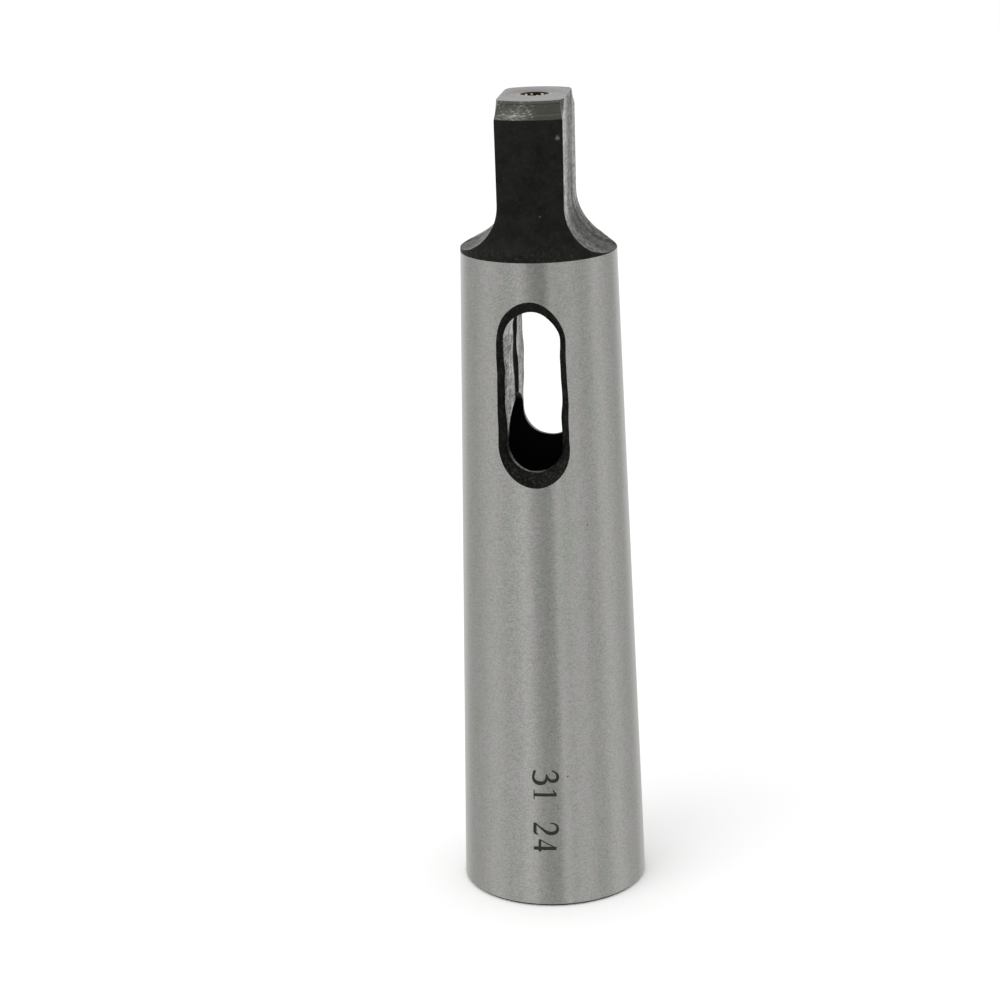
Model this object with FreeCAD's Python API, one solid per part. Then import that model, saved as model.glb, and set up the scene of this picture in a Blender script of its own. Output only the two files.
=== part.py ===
import FreeCAD
import Part
import os
from FreeCAD import Vector
from math import acos, cos, radians, sin, sqrt, tan

# Morse taper reducing sleeve, number 4 taper outside and number 3 socket inside.
# Millimetres. The sleeve stands on its large end: the origin is the centre of the
# socket's mouth, +Z runs up the axis to the tang, X is square to the tang's flats
# and Y runs through the drift slot.

# Outer cone, ground
OUTER_GAUGE_DIAMETER = 31.267
OUTER_TAPER = 1 / 19.254
GAUGE_LINE_HEIGHT = 22.5
BASE_CHAMFER = 0.45

# Socket, from the mouth up: reamed taper, parallel relief, drill point, pilot hole
SOCKET_MOUTH_DIAMETER = 23.825
SOCKET_TAPER = 1 / 19.922
SOCKET_TAPER_LENGTH = 72.2
MOUTH_CHAMFER = 0.8
RELIEF_LENGTH = 13.1
PILOT_DIAMETER = 10.6
PILOT_OVERRUN = 1.6
DRILL_POINT_ANGLE = 118.0

# Drift slot, from where the driven-in tool's tang ends to above it
SLOT_WIDTH = 9.4
SLOT_LENGTH = 26.5
SLOT_OVERLAP = 6.5
SLOT_CHAMFER = 2.6
SLOT_CHAMFER_ANGLE = 45.0

# Black unground land, flare and neck, and the flat tang milled out of the neck
SLOT_TO_SHOULDER = 8.7
LAND_HEIGHT = 1.1
NECK_STEP = 1.7
FLARE_RADIUS = 12.0
TANG_LENGTH = 26.0
TANG_THICKNESS = 11.25
TANG_FILLET = 8.6
FILLET_ABOVE_SHOULDER = 0.25

# Turned end of the tang
END_BEVEL_WIDTH = 2.4
END_BEVEL_HEIGHT = 2.8
END_BEVEL_BULGE = 0.3
CENTRE_HOLE_DIAMETER = 4.4
CENTRE_PILOT_DIAMETER = 1.8
CENTRE_PILOT_LENGTH = 3.0
CENTRE_ANGLE = 60.0

# How far a cutting body stands past the face that it opens
CUT_MARGIN = 3.0

socket_end = SOCKET_TAPER_LENGTH + RELIEF_LENGTH
slot_start = socket_end - SLOT_OVERLAP
slot_end = slot_start + SLOT_LENGTH
shoulder_height = slot_end + SLOT_TO_SHOULDER
land_end = shoulder_height + LAND_HEIGHT
total_length = shoulder_height + TANG_LENGTH


def outer_radius(height):
    """Radius of the ground cone at a height above the mouth."""
    return OUTER_GAUGE_DIAMETER / 2 + (GAUGE_LINE_HEIGHT - height) * OUTER_TAPER / 2


def socket_radius(height):
    """Radius of the reamed socket at a height above the mouth."""
    return SOCKET_MOUTH_DIAMETER / 2 - height * SOCKET_TAPER / 2


def point(radius, height):
    """A point of a turned profile."""
    return Vector(radius, 0, height)


def line(start, end):
    """A straight edge."""
    return Part.LineSegment(start, end).toShape()


def arc(start, middle, end):
    """A round edge through three points."""
    return Part.Arc(start, middle, end).toShape()


def polyline(points):
    """Straight edges from point to point."""
    return [line(start, end) for start, end in zip(points, points[1:])]


def revolved(edges):
    """The solid turned from a closed profile about the Z axis."""
    face = Part.Face(Part.Wire(edges))
    return face.revolve(Vector(0, 0, 0), Vector(0, 0, 1), 360)


def neck_radius():
    """Radius of the neck that the tang is milled from."""
    return outer_radius(shoulder_height) - NECK_STEP


def neck_flare():
    """Hollow flare from the land's edge in to the neck, which it meets without a corner."""
    land = outer_radius(land_end)
    neck = neck_radius()
    sweep = acos(1 - (land - neck) / FLARE_RADIUS)
    centre = point(neck + FLARE_RADIUS, land_end + FLARE_RADIUS * sin(sweep))
    middle = centre - point(FLARE_RADIUS * cos(sweep / 2), FLARE_RADIUS * sin(sweep / 2))
    return arc(point(land, land_end), middle, centre - point(FLARE_RADIUS, 0))


def end_bevel():
    """Slightly bulged bevel between the neck and the end face."""
    neck = neck_radius()
    width = END_BEVEL_WIDTH
    height = END_BEVEL_HEIGHT
    slope = sqrt(width ** 2 + height ** 2)
    middle_radius = neck - width / 2 + END_BEVEL_BULGE * height / slope
    middle_height = total_length - height / 2 + END_BEVEL_BULGE * width / slope
    start = point(neck, total_length - height)
    return arc(start, point(middle_radius, middle_height), point(neck - width, total_length))


def blank():
    """The turned outside: chamfered base, cone with its land, flare, neck, bevel and end face."""
    cone = polyline([
        point(0, 0),
        point(outer_radius(0) - BASE_CHAMFER, 0),
        point(outer_radius(BASE_CHAMFER), BASE_CHAMFER),
        point(outer_radius(land_end), land_end),
    ])
    flare = neck_flare()
    bevel = end_bevel()
    neck = line(flare.Vertexes[-1].Point, bevel.Vertexes[0].Point)
    close = polyline([bevel.Vertexes[-1].Point, point(0, total_length), point(0, 0)])
    return revolved(cone + [flare, neck, bevel] + close)


def socket():
    """The space of the bore, from below the mouth to the tip of the pilot hole."""
    point_slope = tan(radians(90 - DRILL_POINT_ANGLE / 2))
    relief = socket_radius(SOCKET_TAPER_LENGTH)
    pilot = PILOT_DIAMETER / 2
    pilot_end = slot_end + PILOT_OVERRUN
    mouth = socket_radius(0) + MOUTH_CHAMFER
    return revolved(polyline([
        point(0, -CUT_MARGIN),
        point(mouth + CUT_MARGIN, -CUT_MARGIN),
        point(mouth, 0),
        point(socket_radius(MOUTH_CHAMFER), MOUTH_CHAMFER),
        point(relief, SOCKET_TAPER_LENGTH),
        point(relief, socket_end),
        point(pilot, socket_end + (relief - pilot) * point_slope),
        point(pilot, pilot_end),
        point(0, pilot_end + pilot * point_slope),
        point(0, -CUT_MARGIN),
    ]))


def centre_hole():
    """The centre drilled into the end of the tang: cone, pilot and drill point."""
    rim = CENTRE_HOLE_DIAMETER / 2
    pilot = CENTRE_PILOT_DIAMETER / 2
    cone_slope = 1 / tan(radians(CENTRE_ANGLE / 2))
    cone_end = total_length - (rim - pilot) * cone_slope
    pilot_end = cone_end - CENTRE_PILOT_LENGTH
    return revolved(polyline([
        point(0, total_length + CUT_MARGIN),
        point(rim, total_length + CUT_MARGIN),
        point(rim, total_length),
        point(pilot, cone_end),
        point(pilot, pilot_end),
        point(0, pilot_end - pilot * tan(radians(90 - DRILL_POINT_ANGLE / 2))),
        point(0, total_length + CUT_MARGIN),
    ]))


def slot_outline(depth, growth):
    """The slot's round-ended outline at a depth along Y, larger by a growth all round."""
    half = SLOT_WIDTH / 2 + growth
    low = slot_start + SLOT_WIDTH / 2
    high = slot_end - SLOT_WIDTH / 2
    low_left = Vector(-half, depth, low)
    low_right = Vector(half, depth, low)
    high_left = Vector(-half, depth, high)
    high_right = Vector(half, depth, high)
    return Part.Wire([
        line(low_right, high_right),
        arc(high_right, Vector(0, depth, high + half), high_left),
        line(high_left, low_left),
        arc(low_left, Vector(0, depth, low - half), low_right),
    ])


def drift_slot():
    """The slot through both walls, with a wide chamfer round each of its mouths."""
    crest = outer_radius((slot_start + slot_end) / 2)
    inner = crest - SLOT_CHAMFER
    outer = outer_radius(0) + CUT_MARGIN
    growth = (outer - inner) * tan(radians(SLOT_CHAMFER_ANGLE))
    through = Part.Face(slot_outline(-outer, 0)).extrude(Vector(0, 2 * outer, 0))
    front = Part.makeLoft([slot_outline(-inner, 0), slot_outline(-outer, growth)], True, True)
    back = Part.makeLoft([slot_outline(inner, 0), slot_outline(outer, growth)], True, True)
    return through.fuse([front, back])


def tang_flat(side):
    """What is milled away beside the tang, with the cutter's radius at its foot."""
    flat = TANG_THICKNESS / 2
    foot = shoulder_height + FILLET_ABOVE_SHOULDER
    outside = outer_radius(0) + TANG_FILLET
    top = total_length + CUT_MARGIN
    length = outer_radius(0) + CUT_MARGIN
    corner = TANG_FILLET * (1 - cos(radians(45)))

    def at(across, height):
        return Vector(side * across, -length, height)

    edges = polyline([
        at(flat, foot + TANG_FILLET),
        at(flat, top),
        at(outside, top),
        at(outside, foot),
        at(flat + TANG_FILLET, foot),
    ])
    edges.append(arc(at(flat + TANG_FILLET, foot), at(flat + corner, foot + corner), at(flat, foot + TANG_FILLET)))
    return Part.Face(Part.Wire(edges)).extrude(Vector(0, 2 * length, 0))


def sleeve():
    """The whole sleeve, one solid."""
    body = blank()
    for space in (socket(), drift_slot(), tang_flat(-1), tang_flat(1), centre_hole()):
        body = body.cut(space)
    return body.Solids[0]


os.makedirs("parts", exist_ok=True)
sleeve().exportStep("parts/sleeve.step")
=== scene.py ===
"""Looks of the morse taper sleeve: one turned, slotted and milled body and the numbers etched on it."""

import math
import random
from functools import partial
from typing import NamedTuple

import bpy
from bpy.props import FloatProperty, FloatVectorProperty, IntProperty, PointerProperty, StringProperty
from mathutils import Matrix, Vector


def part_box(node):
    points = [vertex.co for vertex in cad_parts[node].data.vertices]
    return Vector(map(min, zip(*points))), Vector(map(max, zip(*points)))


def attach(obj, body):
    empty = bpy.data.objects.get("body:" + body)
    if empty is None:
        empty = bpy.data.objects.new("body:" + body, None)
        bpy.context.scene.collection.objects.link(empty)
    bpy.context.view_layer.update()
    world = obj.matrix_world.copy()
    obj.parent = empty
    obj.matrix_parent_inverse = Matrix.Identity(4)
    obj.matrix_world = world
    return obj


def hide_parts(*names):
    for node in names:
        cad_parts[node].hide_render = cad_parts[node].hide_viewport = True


bl_info = {
    "name": "Morse Taper Sleeve",
    "version": (1, 0, 0),
    "blender": (4, 5, 0),
    "location": "View3D > Sidebar > Sleeve",
    "description": "Builds the looks of a morse taper reducing sleeve round its packed solid",
    "category": "Object",
}

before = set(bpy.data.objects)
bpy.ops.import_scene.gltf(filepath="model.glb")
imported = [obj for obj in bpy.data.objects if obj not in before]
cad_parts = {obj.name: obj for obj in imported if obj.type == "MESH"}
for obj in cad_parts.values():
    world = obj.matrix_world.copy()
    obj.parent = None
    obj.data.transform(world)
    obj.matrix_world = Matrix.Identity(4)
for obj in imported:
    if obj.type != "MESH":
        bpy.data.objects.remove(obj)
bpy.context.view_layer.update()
SLEEVE_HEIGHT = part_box("sleeve")[1].z

MM = 0.001
TURN = 2 * math.pi
SIN_45 = math.sqrt(0.5)
WHITE = (1.0, 1.0, 1.0, 1.0)

# Zones of the body's surface, each with a finish of its own
GROUND, BLACK, MILLED, TURNED, BEVEL, REAMED, DRILLED, SHADED_WALLS, FLAT, CENTRE = range(10)


def linear(hex_colour):
    """An sRGB hex colour as linear red, green and blue."""
    parts = [int(hex_colour[i:i + 2], 16) / 255 for i in (1, 3, 5)]
    return [c / 12.92 if c <= 0.04045 else ((c + 0.055) / 1.055) ** 2.4 for c in parts]


def length(name, description, default_mm):
    """A length property in metres, given in millimetres."""
    return FloatProperty(name=name, description=description, default=default_mm * MM, unit="LENGTH", precision=5)


def angle(name, description, degrees):
    """An angle property, given in degrees."""
    return FloatProperty(name=name, description=description, default=math.radians(degrees), subtype="ANGLE")


def colour(name, description, hex_colour):
    """A colour property, given as sRGB hex."""
    return FloatVectorProperty(
        name=name, description=description, default=linear(hex_colour), min=0, max=1, subtype="COLOR")


def plain_number(name, description, default, **limits):
    """A plain number property, whole where its default is."""
    kind = IntProperty if isinstance(default, int) else FloatProperty
    return kind(name=name, description=description, default=default, **limits)


class SleeveSizes(bpy.types.PropertyGroup):
    """Sizes of the sleeve as turned, slotted and milled."""

    total_length: length("Total Length", "Large end's face to the end of the tang", SLEEVE_HEIGHT / MM)
    base_radius: length("Base Radius", "Radius of the cone above the base chamfer", 16.2061)
    base_chamfer: length("Base Chamfer", "Chamfer of the large end", 0.45)
    outer_taper: plain_number("Outer Taper", "Change of the cone's diameter along its length", 1 / 19.254)
    shoulder_height: length("Shoulder Height", "Where the ground cone ends", 114.0)
    land_height: length("Land Height", "Black stretch of the cone above the ground one", 1.1)
    neck_step: length("Neck Step", "Step from the cone's end in to the neck", 1.7)
    flare_radius: length("Flare Radius", "Radius of the hollow flare from the land to the neck", 12.0)
    bevel_width: length("Bevel Width", "Bevel of the tang's end, measured inwards", 2.4)
    bevel_height: length("Bevel Height", "Bevel of the tang's end, measured down", 2.8)
    bevel_bulge: length("Bevel Bulge", "How far the bevel stands out from a straight cone", 0.3)
    socket_radius: length("Socket Radius", "Radius of the socket at its mouth", 11.9125)
    socket_taper: plain_number("Socket Taper", "Change of the socket's diameter along its length", 1 / 19.922)
    mouth_chamfer: length("Mouth Chamfer", "Chamfer of the socket's mouth", 0.8)
    taper_length: length("Socket Taper Length", "Length of the reamed taper", 72.2)
    socket_end: length("Socket End", "Where the drill's point begins", 85.3)
    pilot_radius: length("Pilot Radius", "Radius of the pilot hole", 5.3)
    pilot_end: length("Pilot End", "Where the pilot drill's point begins", 106.9)
    drill_point: angle("Drill Point", "Angle of the drills' points", 118)
    slot_width: length("Slot Width", "Width of the drift slot between its flat walls", 9.4)
    slot_low: length("Slot Low", "Lowest point of the drift slot", 78.8)
    slot_high: length("Slot High", "Highest point of the drift slot", 105.3)
    slot_plane: length("Slot Chamfer Plane", "Distance from the axis where the chamfers begin", 11.2)
    tang_thickness: length("Tang Thickness", "Thickness between the tang's flats", 11.25)
    tang_fillet: length("Tang Fillet", "Cutter radius at the foot of the flats", 8.6)
    tang_foot: length("Tang Foot", "Height of the milled foot above the shoulder", 0.25)
    centre_radius: length("Centre Radius", "Radius of the centre hole at the end face", 2.2)
    # The dark ring round the centre hole is a small chamfer blackened as painted shade
    centre_rim: length("Centre Rim", "Width of the dark burr round the centre hole", 0.2)
    centre_pilot: length("Centre Pilot", "Radius of the centre hole's pilot", 0.9)
    centre_depth: length("Centre Pilot Depth", "Length of the centre hole's pilot", 3.0)


class SleeveMachining(bpy.types.PropertyGroup):
    """Traces that the tools and the hand stone leave."""

    segments: plain_number("Segments", "Facets round the turned body", 256, min=24)
    cone_step: length("Cone Step", "Height of one row of the cone's mesh", 1.2)
    slot_round: length("Slot Edge Round", "Rounding where the slot's chamfer meets its wall", 1.2)
    slot_turn: angle("Slot Turn", "How far the slot came out turned about the sleeve's axis", -0.71)
    slot_lean: angle("Slot Lean", "How far the slot's top leans to the right", -0.21)
    slot_shift: length("Slot Shift", "How far the slot came out off the axis, to the right", -0.05)
    slot_waist: length("Slot Waist", "How much nearer the slot's walls stand half way in", 0.3)
    lip_drop: length("Lip Drop", "How much lower the wall ends at the front mouth's lower lip", 1.3)
    lip_trim: length("Lip Trim", "How much less the lower lip's chamfer opens outwards", 2.4)
    lip_skew: angle("Lip Skew", "How far the steeper chamfer lies to the left of the lowest point", 38)
    edge_waver: length("Edge Waver", "How far the hand-dressed edges of the slot wander", 1.3)
    waver_size: length("Waver Size", "Size of one wander of the slot's edges", 8)
    waver_seed: plain_number("Waver Seed", "Seed of the slot's wandering edges", 96)
    tang_turn: angle("Tang Turn", "How far the tang came out turned from the slot", 0.5)
    tang_shift: length("Tang Shift", "How far the tang came out off the axis, to the left", 0.025)
    flat_lean: length("Flat Lean", "How much nearer the axis the flats lie at their foot", 0.17)
    foot_offset: length("Foot Offset", "How much higher the left foot is milled, and the right one lower", 0.3)
    mill_depth: length("Mill Mark Depth", "Depth of the marks along the milled flats", 0.10)
    mill_pitch: length("Mill Mark Pitch", "Distance between the marks along the milled flats", 1.6)
    corner_dressing: length("Corner Dressing", "How deep the hand stone took the end face's four corners", 0.75)
    corner_reach: length("Corner Reach", "How far from each corner the hand stone reached", 1.7)
    ring_depth: length("Ring Depth", "Depth of the turned rings on the end bevel", 0.03)
    ring_count: plain_number("Ring Count", "Turned rings on the end bevel", 12, min=1)
    seed: plain_number("Seed", "Seed of the mill marks and the turned rings", 4)


class SleeveColours(bpy.types.PropertyGroup):
    """Colours of the sleeve's finishes."""

    ground: colour("Ground Steel", "Ground cone", "#ABABA6")
    skin: colour("Black Skin", "Heat-treated skin left on shoulder, neck and slot edges", "#151713")
    milled: colour("Milled Steel", "Slot walls", "#A2A29E")
    flat: colour("Milled Flats", "Flats of the tang", "#BCBCB8")
    # Painted shade: the slot walls' lower ends take this darker colour
    shaded_wall_end: colour("Shaded Wall Steel", "Lower ends of the slot's walls, darkened by scale", "#5C5A55")
    turned: colour("Turned Steel", "End face and large end's face", "#8F8D8B")
    bevel: colour("Bevel", "Turned end bevel with scale left on it", "#50514B")
    centre: colour("Centre Hole", "Countersink of the centre hole, tempered straw", "#C2B79B")
    # The drilled bore's near black is dark scale deepened by painted shade
    drilled: colour("Drilled Bore", "Relief and pilot bore, dark with scale", "#0A0A09")
    mark: colour("Mark", "Etched numbers", "#2A2B24")


class MarkSettings(bpy.types.PropertyGroup):
    """Size mark etched near the large end."""

    numbers: StringProperty(name="Numbers", description="Gauge diameters in millimetres", default="31 24")
    digit_height: length("Digit Height", "Height of the digits, round the cone", 4.05)
    digit_advance: length("Digit Advance", "Distance from digit to digit, down the cone", 3.2)
    digit_spread: plain_number("Digit Spread", "How much wider the digits are drawn", 1.18)
    pen: plain_number("Pen", "How much bolder the strokes are drawn", 1.3)
    mark_top: length("Mark Top", "Where the first digit begins, above the large end", 25.45)
    baseline: length("Baseline", "Where the digits' feet stand, round the cone from its front", -1.4)
    lean: angle("Lean", "How far the line of digits leans off the cone's length", 1.4)
    proud: length("Mark Height", "How far the mark stands proud", 0.012)
    sink: length("Mark Depth", "How far the mark reaches into the cone", 0.05)


class StudioSettings(bpy.types.PropertyGroup):
    """Camera, floor and light of the studio."""

    camera_azimuth: angle("Azimuth", "Camera's place round the sleeve", 7.2)
    camera_distance: length("Distance", "Camera's level distance from the axis", 436.06)
    camera_height: length("Height", "Camera's height above the floor", 198.64)
    camera_pitch: angle("Pitch", "How far the camera looks down", 16.46)
    camera_yaw: angle("Yaw", "How far the camera looks to the right of the axis", -1.04)
    camera_roll: angle("Roll", "The camera's lean", 1.86)
    focal_widths: plain_number("Focal Length", "Focal length in picture widths", 2.61637)
    floor_radius: length("Floor Radius", "Radius of the round floor", 3000)
    fill: plain_number("Fill", "Level of the light from all round", 0.9)
    lamp_size: length("Lamp Size", "Side of the square soft lamp", 900)
    lamp_power: plain_number("Lamp Power", "Power of the soft lamp", 4.0, unit="POWER")


def wire(node, inputs):
    """Feeds a node's inputs with values or with what makes them, by name or in their order."""
    usable = [socket for socket in node.inputs if socket.enabled]
    for key, value in inputs.items() if isinstance(inputs, dict) else enumerate(inputs):
        socket = next(s for s in usable if s.name == key) if isinstance(key, str) else usable[key]
        for source in value if isinstance(value, list) else [value]:
            if isinstance(source, bpy.types.Node):
                source = next(s for s in source.outputs if s.enabled)
            if isinstance(source, bpy.types.NodeSocket):
                node.id_data.links.new(source, socket)
            else:
                socket.default_value = source


def add_node(tree, kind, inputs=(), **settings):
    """Adds a node with its settings and inputs; a kind in capitals is an operation of the Math node."""
    if kind.isupper():
        kind, settings["operation"] = "ShaderNodeMath", kind
    node = tree.nodes.new(kind)
    for name, value in settings.items():
        setattr(node, name, value)
    wire(node, inputs)
    return node


def geometry_tree(name, inputs):
    """A geometry tree with named inputs; returns it, what adds its nodes, its input sockets and its output node."""
    tree = bpy.data.node_groups.new(name, "GeometryNodeTree")
    tree.interface.new_socket("Geometry", in_out="INPUT", socket_type="NodeSocketGeometry")
    for label, value in inputs.items():
        kind = "NodeSocketInt" if isinstance(value, int) else "NodeSocketFloat"
        tree.interface.new_socket(label, in_out="INPUT", socket_type=kind)
    tree.interface.new_socket("Geometry", in_out="OUTPUT", socket_type="NodeSocketGeometry")
    add = partial(add_node, tree)
    return tree, add, add("NodeGroupInput").outputs, add("NodeGroupOutput")


def run_tree(name, start, tree, values):
    """Runs a geometry tree on a mesh or curve with the given input values and returns the plain mesh."""
    source = bpy.data.objects.new(name + "_source", start)
    bpy.context.scene.collection.objects.link(source)
    modifier = source.modifiers.new(tree.name, "NODES")
    modifier.node_group = tree
    for item in tree.interface.items_tree:
        if item.in_out == "INPUT" and item.name in values:
            modifier[item.identifier] = values[item.name]
    ready = source.evaluated_get(bpy.context.evaluated_depsgraph_get())
    mesh = bpy.data.meshes.new_from_object(ready)
    source.modifiers.clear()
    bpy.data.objects.remove(source)
    mesh.name = name
    piece = bpy.data.objects.new(name, mesh)
    bpy.context.scene.collection.objects.link(piece)
    return piece


# Edges sharper than this stay creased, and points nearer than this are one
CREASE = math.radians(36)
SAME_POINT = 1e-7


def dress(add, mesh, finishes):
    """Ends a tree: smooths all but sharp edges and gives each zone its material."""
    sharp = add("GREATER_THAN", (add("GeometryNodeInputMeshEdgeAngle"), CREASE))
    smooth = add("GeometryNodeSetShadeSmooth", {"Geometry": mesh, "Shade Smooth": True}, domain="FACE")
    creased = add("GeometryNodeSetShadeSmooth",
                  {"Geometry": smooth, "Selection": sharp, "Shade Smooth": False}, domain="EDGE")
    ready = add("GeometryNodeRealizeInstances", (creased,))
    zone = add("GeometryNodeInputNamedAttribute", ("zone",), data_type="INT")
    for number, material in enumerate(finishes):
        chosen = add("FunctionNodeCompare", (zone, number), data_type="INT", operation="EQUAL")
        ready = add("GeometryNodeSetMaterial", {"Geometry": ready, "Selection": chosen, "Material": material})
    return ready


def arc_points(centre, radius, start, end, count):
    """Points on an arc of a section, angles in degrees."""
    angles = [math.radians(start + (end - start) * i / count) for i in range(count + 1)]
    return [(centre[0] + radius * math.cos(a), centre[1] + radius * math.sin(a)) for a in angles]


def cone_radius(sizes, height):
    """Radius of the ground cone at a height above the large end."""
    return sizes.base_radius - (height - sizes.base_chamfer) * sizes.outer_taper / 2


def bevel_points(sizes, machining):
    """The bulged end bevel from the neck up, with the turning tool's rings."""
    draw = random.Random(machining.seed)
    neck = cone_radius(sizes, sizes.shoulder_height) - sizes.neck_step
    steps = 2 * machining.ring_count
    slope = math.hypot(sizes.bevel_width, sizes.bevel_height)
    points = []
    for i in range(steps + 1):
        share = i / steps
        stand = 4 * share * (1 - share) * sizes.bevel_bulge
        if i % 2:
            stand -= machining.ring_depth * draw.uniform(0.2, 1.0)
        radius = neck - share * sizes.bevel_width + stand * sizes.bevel_height / slope
        height = sizes.total_length - (1 - share) * sizes.bevel_height + stand * sizes.bevel_width / slope
        points.append((radius, height))
    return points


def flare_points(sizes):
    """The hollow flare from the land's edge in to the neck."""
    steps = 12
    land_end = sizes.shoulder_height + sizes.land_height
    neck = cone_radius(sizes, sizes.shoulder_height) - sizes.neck_step
    sweep = math.acos(1 - (cone_radius(sizes, land_end) - neck) / sizes.flare_radius)
    centre = (neck + sizes.flare_radius, land_end + sizes.flare_radius * math.sin(sweep))
    return arc_points(centre, sizes.flare_radius, 180 + math.degrees(sweep), 180, steps)


def rows_between(start, end, count):
    """Evenly spaced points of a straight stretch, without its end."""
    return [tuple(a + (b - a) * i / count for a, b in zip(start, end)) for i in range(count)]


def body_section(sizes, machining):
    """Half section of the turned body as runs of (zone, points), from the pilot hole's tip outwards.

    Each point's zone is that of the band from it to the next point."""
    point_slope = math.tan(math.pi / 2 - sizes.drill_point / 2)
    relief = sizes.socket_radius - sizes.taper_length * sizes.socket_taper / 2
    mouth = sizes.socket_radius - sizes.mouth_chamfer * sizes.socket_taper / 2
    rim = cone_radius(sizes, sizes.shoulder_height)
    flare = flare_points(sizes)
    bevel = bevel_points(sizes, machining)
    cone_rows = round((sizes.shoulder_height - sizes.base_chamfer) / machining.cone_step)
    neck_rows = round((bevel[0][1] - flare[-1][1]) / machining.cone_step)
    centre_end = sizes.total_length - (sizes.centre_radius - sizes.centre_pilot) * math.sqrt(3)
    centre_tip = centre_end - sizes.centre_depth
    pilot_foot = sizes.socket_end + (relief - sizes.pilot_radius) * point_slope
    return [
        (DRILLED, [(0.0, sizes.pilot_end + sizes.pilot_radius * point_slope), (sizes.pilot_radius, sizes.pilot_end)]),
        (DRILLED, [(sizes.pilot_radius, pilot_foot), (relief, sizes.socket_end)]),
        (REAMED, [(relief, sizes.taper_length)]),
        (TURNED, [(mouth, sizes.mouth_chamfer), (sizes.socket_radius + sizes.mouth_chamfer, 0.0)]),
        (BLACK, [(sizes.base_radius - sizes.base_chamfer, 0.0)]),
        (GROUND, rows_between((sizes.base_radius, sizes.base_chamfer), (rim, sizes.shoulder_height), cone_rows)),
        (BLACK, [(rim, sizes.shoulder_height)] + flare[:-1] + rows_between(flare[-1], bevel[0], neck_rows)),
        (BEVEL, bevel[:-1]),
        (TURNED, [bevel[-1]]),
        # Small chamfer round the centre hole, blackened as painted shade
        (BLACK, [(sizes.centre_radius + sizes.centre_rim, sizes.total_length)]),
        (CENTRE, [(sizes.centre_radius - sizes.centre_rim / 2, sizes.total_length - sizes.centre_rim)]),
        (DRILLED, [(sizes.centre_pilot, centre_end)]),
        (DRILLED, [(sizes.centre_pilot, centre_tip), (0.0, centre_tip - sizes.centre_pilot * point_slope)]),
    ]


def section_mesh(runs):
    """The half section as loose points that carry their zones."""
    points = [(radius, 0.0, height) for _, run in runs for radius, height in run]
    mesh = bpy.data.meshes.new("body_section")
    mesh.from_pydata(points, [], [])
    zones = mesh.attributes.new("zone", "INT", "POINT")
    zones.data.foreach_set("value", [zone for zone, run in runs for _ in run])
    return mesh


def revolved(add, section, segments):
    """Turns the section's points round the Z axis and gives each face its zone."""
    rows = add("GeometryNodeAttributeDomainSize", (section,)).outputs["Point Count"]
    columns = add("ADD", (segments, 1))
    grid = add("GeometryNodeMeshGrid", {"Vertices X": columns, "Vertices Y": rows})
    index = add("GeometryNodeInputIndex")
    row = add("MODULO", (index, rows))
    column = add("FLOOR", (add("DIVIDE", (index, rows)),))
    point = add("GeometryNodeSampleIndex", (section, add("GeometryNodeInputPosition"), row), data_type="FLOAT_VECTOR")
    share = add("DIVIDE", (column, segments))
    turn = add("MULTIPLY", (share, TURN))
    placed = add("ShaderNodeVectorRotate", {"Vector": point, "Angle": turn}, rotation_type="Z_AXIS")
    numbered = add("GeometryNodeStoreNamedAttribute", {"Geometry": grid, "Name": "row", "Value": row},
                   data_type="FLOAT", domain="POINT")
    shaped = add("GeometryNodeSetPosition", {"Geometry": numbered, "Position": placed})
    lower_row = add("FLOOR", (add("GeometryNodeInputNamedAttribute", ("row",), data_type="FLOAT"),))
    zones = add("GeometryNodeInputNamedAttribute", ("zone",), data_type="INT")
    zone = add("GeometryNodeSampleIndex", (section, zones, lower_row), data_type="INT")
    zoned = add("GeometryNodeStoreNamedAttribute", {"Geometry": shaped, "Name": "zone", "Value": zone},
                data_type="INT", domain="FACE")
    return add("GeometryNodeMergeByDistance", {"Geometry": zoned, "Distance": SAME_POINT})


def swept(add, outline, columns, rings):
    """A tube of unit steps, and at each of its points the outline's sample and the place along the tube."""
    tube = add("GeometryNodeMeshCylinder",
               {"Vertices": columns, "Side Segments": rings, "Radius": 1.0, "Depth": rings})
    spot = add("ShaderNodeSeparateXYZ", (add("GeometryNodeInputPosition"),)).outputs
    turn = add("ARCTAN2", (spot["Y"], spot["X"]))
    share = add("DIVIDE", (turn, TURN))
    factor = add("WRAP", (share, 1.0, 0.0))
    sample = add("GeometryNodeSampleCurve", {"Curves": outline, "Factor": factor},
                 mode="FACTOR", use_all_curves=True).outputs
    return tube, sample, spot["Z"]


def laid_along_y(add, tube, sample, growth, depth, zone):
    """Grows the sampled outline by a length, lays it at its depth along Y and marks its faces' zone."""
    outward = add("ShaderNodeVectorMath", (sample["Tangent"], (0, 0, 1)), operation="CROSS_PRODUCT")
    grown = add("ShaderNodeVectorMath", (outward, growth, sample["Position"]), operation="MULTIPLY_ADD")
    flat = add("ShaderNodeSeparateXYZ", (grown,)).outputs
    target = add("ShaderNodeCombineXYZ", (flat["X"], depth, flat["Y"]))
    zoned = add("GeometryNodeStoreNamedAttribute", {"Geometry": tube, "Name": "zone", "Value": zone},
                data_type="INT", domain="FACE")
    shaped = add("GeometryNodeSetPosition", {"Geometry": zoned, "Position": target})
    return add("GeometryNodeFlipFaces", (shaped,))


def wander(add, noise_inputs, size):
    """A length that wanders with a noise, by up to half a size either way."""
    noise = add("ShaderNodeTexNoise", noise_inputs, noise_dimensions="4D")
    return add("MULTIPLY", (add("SUBTRACT", (noise, 0.5)), size))


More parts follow.
